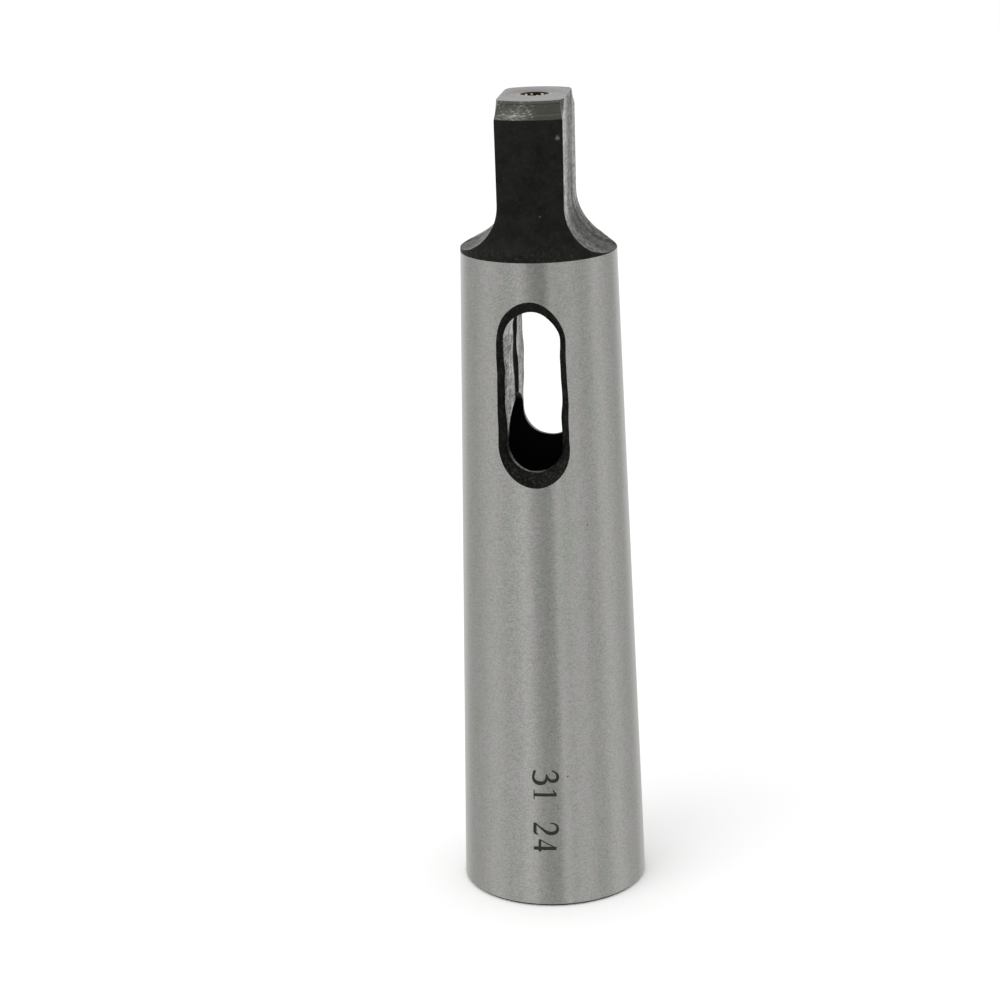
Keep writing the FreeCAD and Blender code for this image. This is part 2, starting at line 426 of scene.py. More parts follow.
def slot_cutter(add, given):
    """The body that cuts the drift slot: round-ended, waisted, with a rounded edge and a chamfer at each mouth."""
    columns, end_steps, wall_steps, round_steps = 192, 24, 4, 4
    # The ends' radius stays a hair under half the width, and wall that faces up by more than a share takes a darker
    # finish as painted shade
    almost_half, shaded_share = 0.4999, 0.3
    height = add("SUBTRACT", (given["Slot High"], given["Slot Low"]))
    total = add("ADD", (given["Slot High"], given["Slot Low"]))
    middle = add("MULTIPLY", (total, 0.5))
    end_radius = add("MULTIPLY", (given["Slot Width"], almost_half))
    box = add("GeometryNodeCurvePrimitiveQuadrilateral", (given["Slot Width"], height))
    outline = add("GeometryNodeFilletCurve", {"Curve": box, "Count": end_steps, "Radius": end_radius}, mode="POLY")
    tube, sample, along = swept(add, outline, columns, 2 * (wall_steps + round_steps + 1))
    ring = add("ABSOLUTE", (along,))
    inside = add("MINIMUM", (add("DIVIDE", (ring, wall_steps)), 1.0))
    level = add("SUBTRACT", (ring, wall_steps))
    share = add("DIVIDE", (level, round_steps), use_clamp=True)
    before = add("SUBTRACT", (1.0, share))
    leg = add("MULTIPLY", (given["Slot Edge Round"], math.tan(math.pi / 8)))
    out = add("MULTIPLY", (add("POWER", (share, 2)), SIN_45))
    back = add("POWER", (before, 2))
    round_growth = add("MULTIPLY", (out, leg))
    inset = add("MULTIPLY", (add("SUBTRACT", (out, back)), leg))
    round_depth = add("ADD", (given["Slot Chamfer Plane"], inset))
    wall_depth = add("MULTIPLY", (round_depth, inside))
    is_end = add("GREATER_THAN", (level, round_steps + 0.5))
    stretch = add("SUBTRACT", (given["Reach"], round_depth))
    flare = add("MULTIPLY", (is_end, stretch))
    depth = add("ADD", (wall_depth, flare))
    side = add("SIGN", (along,))
    signed = add("MULTIPLY", (side, depth))
    fineness = add("DIVIDE", (1.0, given["Waver Size"]))
    seeded = add("ADD", (signed, given["Waver Seed"]))
    noise_inputs = {"Vector": sample["Position"], "W": seeded, "Scale": fineness, "Detail": 1.5}
    waver = wander(add, noise_inputs, given["Edge Waver"])
    bow = add("SUBTRACT", (1.0, add("POWER", (inside, 2))))
    waist = add("MULTIPLY", (bow, given["Slot Waist"]))
    direction = add("ShaderNodeSeparateXYZ", (sample["Tangent"],)).outputs
    lower = add("MAXIMUM", (direction["X"], 0.0))
    front = add("ADD", (add("MULTIPLY", (along, -1 / wall_steps)),), use_clamp=True)
    skew = add("MULTIPLY", (given["Lip Skew"], -1))
    steepest = add("ShaderNodeVectorRotate", {"Vector": (1, 0, 0), "Angle": skew}, rotation_type="Z_AXIS")
    left_lower = add("ShaderNodeVectorMath", (sample["Tangent"], steepest), operation="DOT_PRODUCT")
    trim = add("MULTIPLY", (left_lower.outputs["Value"], given["Lip Trim"]), use_clamp=True)
    deeper = add("MULTIPLY", (lower, given["Lip Drop"]))
    change = add("ShaderNodeMix", (is_end, deeper, add("MULTIPLY", (trim, -1))))
    drop = add("MULTIPLY", (change, front))
    chamfer = add("ADD", (round_growth, flare))
    dressed = add("ADD", (add("ADD", (chamfer, waver)), drop))
    growth = add("SUBTRACT", (dressed, waist))
    wall = add("LESS_THAN", (level, 0.0))
    # Wall that faces up at the slot's lower end is darkened as painted shade
    shaded_wall_end = add("GREATER_THAN", (lower, shaded_share))
    wall_zone = add("MULTIPLY_ADD", (shaded_wall_end, SHADED_WALLS - MILLED, MILLED - BLACK))
    zone = add("MULTIPLY_ADD", (wall, wall_zone, BLACK))
    cutter = laid_along_y(add, tube, sample, growth, signed, zone)
    place = add("ShaderNodeCombineXYZ", (given["Slot Shift"], 0.0, middle))
    rotation = add("ShaderNodeCombineXYZ", (0.0, given["Slot Lean"], given["Slot Turn"]))
    return add("GeometryNodeTransform", {"Geometry": cutter, "Translation": place, "Rotation": rotation})


def flat_cutter(add, given, side, foot, seed):
    """The body that mills away one side of the tang, rounded at its foot and marked by the cutter."""
    columns, foot_steps, rings = 260, 32, 150
    # Length of a mill mark, how far down a corner's dressing fades out, and the bite from which it shows
    mark_length, dressed_down, seen_bite = 25 * MM, 3 * MM, 0.06 * MM
    top = add("ADD", (given["Total Length"], given["Tang Fillet"]))
    lean = add("MULTIPLY", (given["Flat Lean"], 0.5))
    side_low = add("SUBTRACT", (side, lean))
    side_high = add("ADD", (side, lean))
    corners = {
        "Point 1": add("ShaderNodeCombineXYZ", (side_low, foot)),
        "Point 2": add("ShaderNodeCombineXYZ", (given["Reach"], foot)),
        "Point 3": add("ShaderNodeCombineXYZ", (given["Reach"], top)),
        "Point 4": add("ShaderNodeCombineXYZ", (side_high, top)),
    }
    box = add("GeometryNodeCurvePrimitiveQuadrilateral", corners, mode="POINTS")
    corner = add("GeometryNodeInputIndex")
    is_foot = add("FunctionNodeCompare", (corner, 0), data_type="INT", operation="EQUAL")
    radius = add("MULTIPLY", (is_foot, given["Tang Fillet"]))
    outline = add("GeometryNodeFilletCurve", {"Curve": box, "Count": foot_steps, "Radius": radius}, mode="POLY")
    tube, sample, along = swept(add, outline, columns, rings)
    step = add("MULTIPLY", (given["Reach"], 2 / rings))
    depth = add("MULTIPLY", (along, step))
    across = add("DIVIDE", (depth, given["Mill Mark Pitch"]))
    fineness = (1 / mark_length, 1 / mark_length, 0)
    pass_place = add("ShaderNodeCombineXYZ", (0.0, 0.0, across))
    spot = add("ShaderNodeVectorMath", (sample["Position"], fineness, pass_place), operation="MULTIPLY_ADD")
    noise_inputs = {"Vector": spot, "W": seed, "Scale": 1.0, "Detail": 2.0}
    growth = wander(add, noise_inputs, given["Mill Mark Depth"])
    height = add("ShaderNodeSeparateXYZ", (sample["Position"],)).outputs["Y"]
    below = add("SUBTRACT", (given["Total Length"], height))
    outwards = add("SUBTRACT", (add("ABSOLUTE", (depth,)), below))
    start = add("SUBTRACT", (given["Corner Distance"], given["Corner Reach"]))
    nearness = add("ShaderNodeMapRange", (outwards, start, given["Corner Distance"]))
    rounding = add("POWER", (nearness, 2.0))
    fading = add("ShaderNodeMapRange", (below, 0.0, dressed_down, given["Corner Dressing"], 0.0))
    bite = add("MULTIPLY", (rounding, fading))
    dressed = add("ADD", (growth, bite))
    is_dressed = add("GREATER_THAN", (bite, seen_bite))
    zone = add("ShaderNodeMapRange", (is_dressed, 0.0, 1.0, FLAT, BEVEL))
    return laid_along_y(add, tube, sample, dressed, depth, zone)


def tang_cutters(add, given):
    """What mills the tang's two flats: the right one lower at its foot, the pair turned and off the axis."""
    half = add("MULTIPLY", (given["Tang Thickness"], 0.5))
    foot = add("ADD", (given["Shoulder Height"], given["Tang Foot"]))
    cutters = []
    for number, (operation, turned_by) in enumerate((("SUBTRACT", 0.0), ("ADD", math.pi))):
        side = add(operation, (half, given["Tang Shift"]))
        level = add(operation, (foot, given["Foot Offset"]))
        seed = add("ADD", (given["Seed"], number))
        turn = add("ADD", (given["Tang Turn"], turned_by))
        rotation = add("ShaderNodeCombineXYZ", (0.0, 0.0, turn))
        cutter = flat_cutter(add, given, side, level, seed)
        cutters.append(add("GeometryNodeTransform", {"Geometry": cutter, "Rotation": rotation}))
    return cutters


def body_tree(values, finishes):
    """The whole body: turned section, less the slot and the two flats, with a finish for each zone."""
    tree, add, given, result = geometry_tree("sleeve_body", values)
    turned = revolved(add, given["Geometry"], given["Segments"])
    cut = add("GeometryNodeMeshBoolean",
              {"Mesh 1": turned, "Mesh 2": [slot_cutter(add, given), *tang_cutters(add, given)]},
              operation="DIFFERENCE", solver="MANIFOLD")
    wire(result, (dress(add, cut, finishes),))
    return tree


# Digits as pen strokes, with foot serifs: across, up and the pen's width in digit heights
DIGITS = {
    "1": (
        ((0.09, 0.83, 0.03), (0.20, 0.88, 0.05), (0.28, 0.97, 0.07)),
        ((0.29, 0.99, 0.11), (0.29, 0.01, 0.11)),
        ((0.11, 0.015, 0.035), (0.47, 0.015, 0.035)),
    ),
    "2": (
        ((0.04, 0.72, 0.04), (0.07, 1.02, 0.06), (0.40, 1.05, 0.12), (0.47, 0.68, 0.14), (0.30, 0.40, 0.07),
         (0.04, 0.05, 0.04)),
        ((0.04, 0.055, 0.11), (0.44, 0.055, 0.11)),
        ((0.43, 0.05, 0.10), (0.49, 0.19, 0.03)),
    ),
    "3": (
        ((0.03, 0.77, 0.04), (0.10, 1.02, 0.07), (0.42, 1.04, 0.13), (0.44, 0.62, 0.11), (0.16, 0.55, 0.04)),
        ((0.16, 0.55, 0.04), (0.48, 0.58, 0.11), (0.53, 0.14, 0.15), (0.28, -0.08, 0.07), (0.02, 0.06, 0.09)),
    ),
    "4": (
        ((0.36, 0.99, 0.04), (0.03, 0.29, 0.04)),
        ((0.01, 0.275, 0.09), (0.49, 0.275, 0.09)),
        ((0.36, 0.99, 0.12), (0.36, 0.0, 0.12)),
    ),
}


def stroke_curve(mark):
    """The numbers as flat pen strokes, each a spline whose point radii are the pen's widths."""
    curve = bpy.data.curves.new("mark_strokes", "CURVE")
    curve.dimensions = "3D"
    height = mark.digit_height
    for place, digit in enumerate(mark.numbers):
        for stroke in DIGITS.get(digit, ()):
            spline = curve.splines.new("NURBS")
            spline.points.add(len(stroke) - 1)
            for point, (across, up, width) in zip(spline.points, stroke):
                start = place * mark.digit_advance
                point.co = (start + across * height * mark.digit_spread, up * height, 0.0, 1.0)
                point.radius = width * height * mark.pen
            spline.order_u = 3
            spline.use_endpoint_u = True
    return curve


def mark_tree(values, material):
    """Pen strokes laid on the ground cone, reading down it, each a hair over the one before."""
    points, hair = 40, 2e-7
    tree, add, given, result = geometry_tree("size_mark", values)
    numbered = add("GeometryNodeStoreNamedAttribute",
                   {"Geometry": given["Geometry"], "Name": "layer", "Value": add("GeometryNodeInputIndex")},
                   data_type="INT", domain="CURVE")
    even = add("GeometryNodeResampleCurve", {"Curve": numbered, "Count": points}, mode="COUNT")
    pen = add("GeometryNodeCurvePrimitiveQuadrilateral", (1.0, 1.0))
    width = add("GeometryNodeInputRadius")
    strokes = add("GeometryNodeCurveToMesh", {"Curve": even, "Profile Curve": pen, "Scale": width, "Fill Caps": True})
    spot = add("ShaderNodeSeparateXYZ", (add("GeometryNodeInputPosition"),)).outputs
    layer = add("GeometryNodeInputNamedAttribute", ("layer",), data_type="INT")
    is_top = add("GREATER_THAN", (spot["Z"], 0.0))
    stand = add("MULTIPLY_ADD", (layer, hair, given["Mark Height"]))
    rise = add("ADD", (stand, given["Mark Depth"]))
    lift = add("SUBTRACT", (add("MULTIPLY", (is_top, rise)), given["Mark Depth"]))
    height = add("SUBTRACT", (given["Mark Top"], spot["X"]))
    above = add("SUBTRACT", (height, given["Base Chamfer"]))
    slope = add("MULTIPLY", (given["Outer Taper"], -0.5))
    cone = add("MULTIPLY_ADD", (above, slope, given["Base Radius"]))
    radius = add("ADD", (cone, lift))
    drift = add("TANGENT", (given["Lean"],))
    feet = add("MULTIPLY", (drift, spot["X"]))
    start = add("SUBTRACT", (given["Baseline"], feet))
    around = add("ADD", (start, spot["Y"]))
    turn = add("DIVIDE", (around, cone))
    front = add("ShaderNodeCombineXYZ", (0.0, add("MULTIPLY", (radius, -1)), height))
    placed = add("ShaderNodeVectorRotate", {"Vector": front, "Angle": turn}, rotation_type="Z_AXIS")
    shaped = add("GeometryNodeSetPosition", {"Geometry": strokes, "Position": placed})
    whole = add("GeometryNodeStoreNamedAttribute", {"Geometry": shaped, "Name": "zone", "Value": 0},
                data_type="INT", domain="FACE")
    wire(result, (dress(add, whole, [material]),))
    return tree


def new_material(name, surface_values):
    """A material with one Principled surface; returns it, what adds its nodes, its surface and Object coordinates."""
    material = bpy.data.materials.new(name)
    material.use_nodes = True
    material.node_tree.nodes.clear()
    add = partial(add_node, material.node_tree)
    surface = add("ShaderNodeBsdfPrincipled", surface_values)
    add("ShaderNodeOutputMaterial", {"Surface": surface})
    return material, add, surface, add("ShaderNodeTexCoord").outputs["Object"]


def shade(rgb, factor=1.0):
    """A colour, made lighter or darker, as a socket takes it."""
    return tuple(min(1.0, channel * factor) for channel in rgb) + (1.0,)


def toned(add, base, pattern, low, high, dark, light):
    """A colour darkened where a pattern is low and lightened where it is high."""
    level = add("ShaderNodeMapRange", (pattern, low, high, dark, light))
    return add("ShaderNodeMix", (1.0, base, level), data_type="RGBA", blend_type="MULTIPLY")


def fill_ramp(ramp, tones):
    """Grey tones along a colour ramp, each with its place from 0 to 1."""
    for number, (place, tone) in enumerate(tones):
        stop = ramp.elements[number] if number < 2 else ramp.elements.new(1.0)
        stop.position = place
        stop.color = (tone, tone, tone, 1.0)


# Heights between which a finish changes, and where a knock took the black skin off the front of the neck
# Heights of the painted shade on the ground cone's upper part
PAINTED_SHADE_HEIGHTS = (70 * MM, 112 * MM)
# Heights of a painted highlight of grey specks on the slot's lower chamfer
LIP_HIGHLIGHT = (79 * MM, 83 * MM)
LAND_DUST = (114 * MM, 117.5 * MM)
# Heights below which the milled flats grow darker towards their foot
FOOT_DARKENING = (119 * MM, 122 * MM)
KNOCK = (4.85 * MM, -10.45 * MM, 134.2 * MM)
# Distance between the turning tool's rings
RING_PITCH = 0.5 * MM


def ground_steel(rgb):
    """Hardened steel, cylindrically ground.

    Fine marks round the cone draw each light out into a soft upright band, the wheel's grain speckles it, and a
    faint painted shade darkens its upper middle towards the slot's end."""
    material, add, surface, place = new_material(
        "ground_hardened_steel", {"Metallic": 1.0, "Anisotropic": 0.92, "Anisotropic Rotation": 0.25})
    grain = add("ShaderNodeTexNoise", {"Vector": place, "Scale": 1 / (0.28 * MM), "Detail": 1.0})
    stretched = add("ShaderNodeMapping", {"Vector": place, "Scale": (1, 1, 2.5)})
    streaks = add("ShaderNodeTexNoise", {"Vector": stretched, "Scale": 1 / (0.9 * MM), "Detail": 3.0})
    upright = add("ShaderNodeMapping", {"Vector": place, "Scale": (1, 1, 0.35)})
    cloud = add("ShaderNodeTexNoise", {"Vector": upright, "Scale": 1 / (2.2 * MM), "Detail": 2.0})
    warmth = add("ShaderNodeMapRange", (cloud, 0.32, 0.68))
    greenish = shade((rgb[0] * 0.985, rgb[1] * 1.015, rgb[2] * 0.99), 0.98)
    pinkish = shade((rgb[0] * 1.02, rgb[1] * 0.99, rgb[2] * 1.04), 1.02)
    tint = add("ShaderNodeMix", (warmth, greenish, pinkish), data_type="RGBA")
    both = add("MULTIPLY_ADD", (streaks, 0.5, grain))
    speckled = toned(add, tint, both, 0.55, 0.95, 0.845, 1.175)
    cells = add("ShaderNodeTexVoronoi", {"Vector": place, "Scale": 1 / (6.5 * MM)})
    pits = add("ShaderNodeMapRange", (cells, 0.016, 0.034, 1.0, 0.0))
    pitted = add("ShaderNodeMix", (pits, speckled, shade(rgb, 0.25)), data_type="RGBA")
    spot = add("ShaderNodeSeparateXYZ", (place,)).outputs
    # Painted shade: the cone's upper part is darkened, most near its middle and fading to the sides
    upper = add("ShaderNodeMapRange", (spot["Z"], *PAINTED_SHADE_HEIGHTS))
    left = add("ShaderNodeMapRange", (spot["X"], -9 * MM, -1 * MM, 0.0, 0.16))
    right = add("ShaderNodeMapRange", (spot["X"], 2.5 * MM, 6 * MM, 1.0, 0.3))
    sideways = add("MULTIPLY", (left, right))
    heat = add("MULTIPLY", (upper, sideways))
    shaded_cone = add("ShaderNodeMix", (heat, pitted, (0.0, 0.0, 0.0, 1.0)), data_type="RGBA")
    gloss = add("ShaderNodeMapRange", (both, 0.5, 1.0, 0.27, 0.37))
    bump = add("ShaderNodeBump", {"Distance": 0.006 * MM, "Height": both})
    tangent = add("ShaderNodeTangent", direction_type="RADIAL", axis="Z")
    wire(surface, {"Base Color": shaded_cone, "Roughness": gloss, "Normal": bump, "Tangent": tangent})
    return material


def black_skin(rgb):
    """Black heat-treatment skin over rough-turned steel.

    Nearly no colour, a faint dry sheen, soft mottling, a few bare specks, grey dust near the land, a painted
    highlight of grey specks near the slot's lower lip and one place that was knocked bare."""
    material, add, surface, place = new_material(
        "black_heat_treated_skin", {"Metallic": 0.0, "Specular IOR Level": 0.1})
    blots = {"Vector": place, "Scale": 1 / (2.5 * MM), "Detail": 5.0, "Roughness": 0.75}
    mottle = add("ShaderNodeTexNoise", blots)
    mottled = toned(add, shade(rgb), mottle, 0.3, 0.7, 0.3, 1.55)
    cells = add("ShaderNodeTexVoronoi", {"Vector": place, "Scale": 1 / (3.2 * MM)})
    bare = add("ShaderNodeMapRange", (cells, 0.02, 0.05, 0.5, 0.0))
    scale = add("ShaderNodeTexNoise", {"Vector": place, "Scale": 1 / (0.5 * MM), "Detail": 2.0})
    off_knock = add("ShaderNodeVectorMath", (place, KNOCK), operation="DISTANCE").outputs["Value"]
    struck = add("ShaderNodeMapRange", (off_knock, 0.1 * MM, 0.5 * MM, 0.75, 0.0))
    torn = add("ShaderNodeMapRange", (scale, 0.35, 0.55))
    knocked = add("MULTIPLY", (struck, torn))
    worn = add("MAXIMUM", (bare, knocked))
    steel = shade(linear("#8A8A84"))
    specked = add("ShaderNodeMix", (worn, mottled, steel), data_type="RGBA")
    height = add("ShaderNodeSeparateXYZ", (place,)).outputs["Z"]
    near_land = add("ShaderNodeMapRange", (height, *LAND_DUST, 0.12, 0.03))
    # Near the slot's lower lip the grey specks are a painted highlight; near the land they are dust
    lip_highlight = add("ShaderNodeMapRange", (height, *LIP_HIGHLIGHT, 0.25, 0.03))
    dust_and_highlight_reach = add("MAXIMUM", (near_land, lip_highlight))
    dust_and_highlight = add("MULTIPLY", (add("ShaderNodeMapRange", (scale, 0.5, 0.75)), dust_and_highlight_reach))
    grey = shade(linear("#6A6B66"))
    dusted_and_highlit = add("ShaderNodeMix", (dust_and_highlight, specked, grey), data_type="RGBA")
    gloss = add("ShaderNodeMapRange", (mottle, 0.3, 0.7, 0.45, 0.6))
    bump = add("ShaderNodeBump", {"Distance": 0.03 * MM, "Height": scale})
    wire(surface, {"Base Color": dusted_and_highlit, "Roughness": gloss, "Normal": bump})
    return material


class MillMarks(NamedTuple):
    """How an end mill left a surface: sizes of its streaks and torn patches, and the tone of each pass.

    Passes run from the front, in millimetres off the axis, to the back; the dullest and the brightest of them
    have the two gleams."""

    streak: tuple
    patch: tuple
    contrast: float
    passes: tuple
    wander: float
    gleam: tuple
    shine: float
    foot: float


# How far in front of the axis and behind it passes are told apart, in millimetres
PASSES_REACH = 12
SLOT_MARKS = MillMarks(
    streak=(2 * MM, 1.2 * MM, 3 * MM), patch=(0.3 * MM, 2.5 * MM, 0.3 * MM), contrast=0.75,
    passes=((-12, 1.03), (4, 1.0), (7, 0.42), (12, 0.36)), wander=0.0, gleam=(1.0, 1.0), shine=0.1, foot=1.0)
FLAT_MARKS = MillMarks(
    streak=(20 * MM, 2.2 * MM, 20 * MM), patch=(MM, 1.6 * MM, 0.5 * MM), contrast=0.5,
    passes=((-8.5, 1.0), (-5.5, 0.9), (-4, 0.5), (-2.2, 0.26), (-0.3, 0.42), (1.5, 0.36), (3.4, 0.22), (5.4, 0.6),
            (7, 0.75), (9, 0.75)),
    wander=2.5 * MM, gleam=(0.05, 0.4), shine=0.02, foot=0.42)


def milled_steel(name, rgb, marks):
    """Steel as the end mill left it, the less gleam the more torn and matt.

    Each pass shows as a lighter or darker strip, with streaks and torn patches drawn coarser than they are."""
    low, high = marks.gleam
    material, add, surface, place = new_material(
        name, {"Specular IOR Level": marks.shine, "Specular Tint": shade((1, 1, 1), high)})
    stretched = add("ShaderNodeMapping", {"Vector": place, "Scale": tuple(1 / size for size in marks.streak)})
    streaks = add("ShaderNodeTexNoise", {"Vector": stretched, "Scale": 1.0, "Detail": 3.0})
    grained = add("ShaderNodeMapping", {"Vector": place, "Scale": tuple(1 / size for size in marks.patch)})
    torn = add("ShaderNodeTexNoise", {"Vector": grained, "Scale": 1.0, "Detail": 1.0})
    both = add("ADD", (streaks, torn))
    level = add("ShaderNodeMapRange", (both, 0.75, 1.25, 1 - marks.contrast, 1 + marks.contrast))
    spot = add("ShaderNodeSeparateXYZ", (place,)).outputs
    wandering = add("ShaderNodeTexNoise", {"Vector": place, "Scale": 1 / (6 * MM), "Detail": 2.0})
    aside = add("ShaderNodeMapRange", (wandering, 0.0, 1.0, -marks.wander, marks.wander))
    shifted = add("ADD", (spot["Y"], aside))
    across = add("ShaderNodeMapRange", (shifted, -PASSES_REACH * MM, PASSES_REACH * MM))
    strips = add("ShaderNodeValToRGB", (across,))
    fill_ramp(strips.color_ramp, [(at / PASSES_REACH / 2 + 0.5, tone) for at, tone in marks.passes])
    foot = add("ShaderNodeMapRange", (spot["Z"], *FOOT_DARKENING, marks.foot, 1.0))
    tone = add("MULTIPLY", (level, foot))
    striped = strips
    for layer in (shade(rgb), tone):
        striped = add("ShaderNodeMix", (1.0, striped, layer), data_type="RGBA", blend_type="MULTIPLY")
    gleam = add("ShaderNodeMapRange", (strips, 0.2, 0.8, low, high))
    gloss = add("ShaderNodeMapRange", (both, 0.7, 1.3, 0.45, 0.3))
    bump = add("ShaderNodeBump", {"Distance": 0.03 * MM, "Height": both})
    wire(surface, {"Base Color": striped, "Metallic": gleam, "Roughness": gloss, "Normal": bump})
    return material


def turned_steel(name, rgb, contrast, bare):
    """Steel turned on the lathe: fine rings round the axis, and rows of bare specks where scale came off."""
    material, add, surface, place = new_material(name, {"Metallic": 1.0})
    level_place = add("ShaderNodeVectorMath", (place, (1, 1, 0)), operation="MULTIPLY")
    radius = add("ShaderNodeVectorMath", (level_place,), operation="LENGTH").outputs["Value"]
    height = add("ShaderNodeSeparateXYZ", (place,)).outputs["Z"]
    across = add("SUBTRACT", (radius, height))
    rings = add("ShaderNodeTexNoise", {"W": across, "Scale": 1 / RING_PITCH, "Detail": 3.0}, noise_dimensions="1D")
    ringed = toned(add, shade(rgb), rings, 0.3, 0.7, 1 - contrast, 1 + contrast)
    stretched = add("ShaderNodeMapping", {"Vector": place, "Scale": (1, 1, 3)})
    torn = add("ShaderNodeTexNoise", {"Vector": stretched, "Scale": 1 / (0.6 * MM), "Detail": 2.0})
    patches = add("ShaderNodeTexNoise", {"Vector": place, "Scale": 1 / (5 * MM)})
    both = add("ADD", (torn, patches))
    specks = add("ShaderNodeMapRange", (both, 1.12, 1.4, 0.0, bare))
    bright = shade(linear("#D0D0CC"))
    specked = add("ShaderNodeMix", (specks, ringed, bright), data_type="RGBA")
    gloss = add("ShaderNodeMapRange", (rings, 0.3, 0.7, 0.46, 0.34))
    bump = add("ShaderNodeBump", {"Distance": 0.012 * MM, "Height": rings})
    wire(surface, {"Base Color": specked, "Roughness": gloss, "Normal": bump})
    return material


class Grain(NamedTuple):
    """A finish that follows one grain: its material's name and surface, how the grain is stretched, its size and
    detail, its low and high with the tones that they give, and the roughness of both."""

    name: str
    surface: dict
    stretch: tuple
    size: float
    detail: float
    tones: tuple
    gloss: tuple


DULL = {"Metallic": 0.0, "Specular IOR Level": 0.2}
# Countersink that ran hot under the centre drill: straw-coloured glints broken by black scale
TEMPERED = Grain(
    "tempered_centre_hole", {"Metallic": 1.0}, (1, 1, 1), 0.9 * MM, 1.0, (0.52, 0.62, 0.02, 1.3), (0.3, 0.3))
# Electro-etched steel: a dull dark grey, a little uneven where the stencil held more or less acid
ETCHED = Grain("etched_steel", DULL, (1, 1, 1), 0.3 * MM, 2.0, (0.3, 0.7, 0.75, 1.3), (0.5, 0.7))
# Bore left as drilled and hardened: dark scale made near black as painted shade, with faint rings of the drill
AS_DRILLED = Grain("drilled_dark_bore", DULL, (0.3, 0.3, 3), 1.2 * MM, 3.0, (0.3, 0.7, 0.6, 1.5), (0.4, 0.6))


def grained_steel(grain, rgb):
    """Steel whose tone and gloss follow one grain."""
    material, add, surface, place = new_material(grain.name, grain.surface)
    stretched = add("ShaderNodeMapping", {"Vector": place, "Scale": grain.stretch})
    inputs = {"Vector": stretched, "Scale": 1 / grain.size, "Detail": grain.detail}
    noise = add("ShaderNodeTexNoise", inputs)
    gloss = add("ShaderNodeMapRange", (noise, *grain.tones[:2], *grain.gloss))
    wire(surface, {"Base Color": toned(add, shade(rgb), noise, *grain.tones), "Roughness": gloss})
    return material


def finish_piece(piece, *nodes):
    """Ties a finished piece to the part's one body and hides the named solids."""
    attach(piece, "root")
    if nodes:
        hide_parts(*nodes)


def labelled(names, *groups):
    """The named properties' values under their labels, as a tree's inputs take them."""
    return {group.bl_rna.properties[name].name: getattr(group, name)
            for name in names for group in groups if name in group.bl_rna.properties}


# Settings that the geometry trees take as inputs
BODY_INPUTS = (
    "segments", "seed", "slot_width", "slot_low", "slot_high", "slot_plane", "slot_round", "slot_turn", "slot_lean",
    "slot_shift", "slot_waist", "lip_drop", "lip_trim", "lip_skew", "edge_waver", "waver_size", "waver_seed",
    "shoulder_height", "total_length", "tang_thickness", "tang_fillet", "tang_foot", "tang_turn", "tang_shift",
    "flat_lean", "foot_offset", "corner_dressing", "corner_reach", "mill_depth", "mill_pitch",
)
MARK_INPUTS = ("base_radius", "base_chamfer", "outer_taper", "mark_top", "baseline", "lean", "proud", "sink")


class SLEEVE_OT_body(bpy.types.Operator):
    """Build the turned, slotted and milled body in place of its solid"""

    bl_idname = "sleeve.body"
    bl_label = "Build Body"

    def execute(self, context):
        sizes = context.scene.sleeve_sizes
        machining = context.scene.sleeve_machining
        colours = context.scene.sleeve_colours
        finishes = {
            GROUND: ground_steel(colours.ground),
            BLACK: black_skin(colours.skin),
            # Slot's walls as milled: torn patches across the slot, bright in front and dull behind
            MILLED: milled_steel("milled_bright_steel", colours.milled, SLOT_MARKS),
            # Their lower ends: the same marks darkened as painted shade
            SHADED_WALLS: milled_steel("milled_steel_shaded", colours.shaded_wall_end, SLOT_MARKS),
            # Tang's flats: one strip for each pass of the mill, light and dark by turns
            FLAT: milled_steel("milled_tang_flats", colours.flat, FLAT_MARKS),
            CENTRE: grained_steel(TEMPERED, colours.centre),
            # Faced ends: fine rings and a few bare specks
            TURNED: turned_steel("turned_steel", colours.turned, 0.25, 0.4),
            # Bevel with its scale left on: dark rings with rows of bare specks
            BEVEL: turned_steel("turned_bevel_with_scale", colours.bevel, 0.5, 0.45),
            # Reamed socket: even and bright, its rings hardly seen
            REAMED: turned_steel("reamed_steel", colours.ground, 0.08, 0.0),
            DRILLED: grained_steel(AS_DRILLED, colours.drilled),
        }
        end_radius = cone_radius(sizes, sizes.shoulder_height) - sizes.neck_step - sizes.bevel_width
        values = labelled(BODY_INPUTS, sizes, machining)
        values["Reach"] = sizes.base_radius + 2 * MM
        values["Corner Distance"] = math.sqrt(end_radius ** 2 - sizes.tang_thickness ** 2 / 4)
        tree = body_tree(values, [finishes[zone] for zone in sorted(finishes)])
        body = run_tree("sleeve_body", section_mesh(body_section(sizes, machining)), tree, values)
        if not body.data.polygons:
            raise RuntimeError("the body came out empty")
        finish_piece(body, "sleeve")
        return {"FINISHED"}


class SLEEVE_OT_mark(bpy.types.Operator):
    """Etch the size numbers into the cone"""

    bl_idname = "sleeve.mark"
    bl_label = "Etch Numbers"

    def execute(self, context):
        mark = context.scene.sleeve_mark
        values = labelled(MARK_INPUTS, context.scene.sleeve_sizes, mark)
        tree = mark_tree(values, grained_steel(ETCHED, context.scene.sleeve_colours.mark))
        piece = run_tree("size_mark", stroke_curve(mark), tree, values)
        if not piece.data.polygons:
            raise RuntimeError("the mark came out empty")
        finish_piece(piece)
        return {"FINISHED"}


# The studio's walls as a glossy surface sees them: degrees from the camera's side, and level
STUDIO_WALLS = (
    (-180, 0.97), (-152, 0.88), (-128, 0.65), (-108, 0.69), (-94, 0.80), (-82, 0.88), (-72, 0.85), (-60, 0.71),
    (-50, 0.69), (-42, 0.75), (-34, 0.87), (-26, 0.85), (-19, 0.66), (-12, 0.57), (4, 0.53), (9, 0.55), (13, 0.89),
    (19, 0.90), (25, 0.73), (34, 0.83), (50, 0.82), (60, 0.68), (72, 0.70), (82, 0.88), (94, 0.92), (110, 0.75),
    (128, 0.64), (152, 0.86),
)


